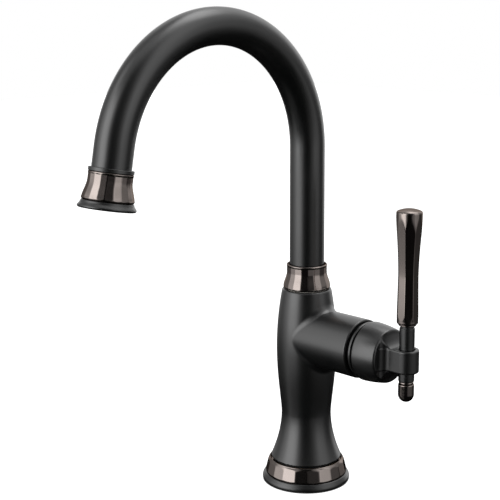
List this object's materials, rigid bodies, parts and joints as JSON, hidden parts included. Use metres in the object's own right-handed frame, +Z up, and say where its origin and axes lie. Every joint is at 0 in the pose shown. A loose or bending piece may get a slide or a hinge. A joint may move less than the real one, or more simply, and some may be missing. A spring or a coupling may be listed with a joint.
{
  "type": "gooseneck bar faucet",
  "caption": "Deck-mounted gooseneck bar faucet with a swivelling round spout, a vase-shaped body and an upright side lever.",
  "frame": {"origin": "centre of the base on the deck, on the axis of the body and of the spout swivel", "axes": "+Z up along the body, -Y towards the user, where the spout reaches, +X along the valve towards the lever"},
  "size_m": [0.1407, 0.241, 0.3647],
  "materials": {
    "matte_black": "satin matte black coating on cast and drawn metal",
    "dark_metal": "polished dark bronze-grey plated metal",
    "brass": "machined brass",
    "copper": "drawn copper tube",
    "steel": "machined stainless steel",
    "rubber": "moulded rubber",
    "ceramic": "lapped ceramic",
    "nylon": "moulded nylon",
    "cartridge_plastic": "moulded plastic"
  },
  "bodies": {
    "root": {"base_gasket": "rubber", "base_flange": "matte_black", "base_ring": "dark_metal", "base_insert": "brass", "body": "matte_black", "hot_supply_tube": "copper", "cold_supply_tube": "copper", "hot_tube_seal": "rubber", "cold_tube_seal": "rubber", "glide_ring": "nylon", "cartridge_base": "cartridge_plastic", "hot_port_seal": "rubber", "cold_port_seal": "rubber", "outlet_port_seal": "rubber", "fixed_disc": "ceramic", "cartridge_housing": "cartridge_plastic", "bonnet_nut": "brass", "bonnet_ring": "matte_black"},
    "turret": {"turret": "nylon", "hinge_pin": "steel"},
    "disc": {"moving_disc": "ceramic", "disc_carrier": "nylon"},
    "handle": {"cartridge_stem": "brass", "handle_cap": "matte_black", "set_screw": "steel", "screw_plug": "matte_black", "lever_stem": "matte_black", "grip_collar": "dark_metal", "lever_grip": "dark_metal", "lower_collar": "matte_black", "finial_ring": "dark_metal", "finial": "dark_metal"},
    "spout": {"spout_tube": "matte_black", "spout_ring": "dark_metal", "spout_shank": "brass", "lower_o_ring": "rubber", "upper_o_ring": "rubber", "spout_clip": "steel", "nozzle_collar": "matte_black", "nozzle_ring": "dark_metal", "aerator_shell": "matte_black", "aerator_body": "nylon", "aerator_screen": "steel", "aerator_washer": "rubber"}
  },
  "joints": [
    {"name": "spout_swivel", "type": "hinge", "parent": "root", "child": "spout", "pos_m": [0, 0, 0], "axis": [0, 0, 1], "continuous": true},
    {"name": "handle_turn", "type": "hinge", "parent": "root", "child": "turret", "pos_m": [0, 0, 0.116], "axis": [1, 0, 0], "range_deg": [-50, 50]},
    {"name": "handle_tilt", "type": "hinge", "parent": "turret", "child": "handle", "pos_m": [0.05375, 0, 0.116], "axis": [0, 1, 0], "range_deg": [0, 20]},
    {"name": "disc_slide", "type": "slide", "parent": "turret", "child": "disc", "axis": [0, 0, 1], "range_m": [0, 0.0048]}
  ],
  "couplings": [
    {"joint": "disc_slide", "follows": "handle_tilt", "m_per_rad": 0.01372}
  ]
}
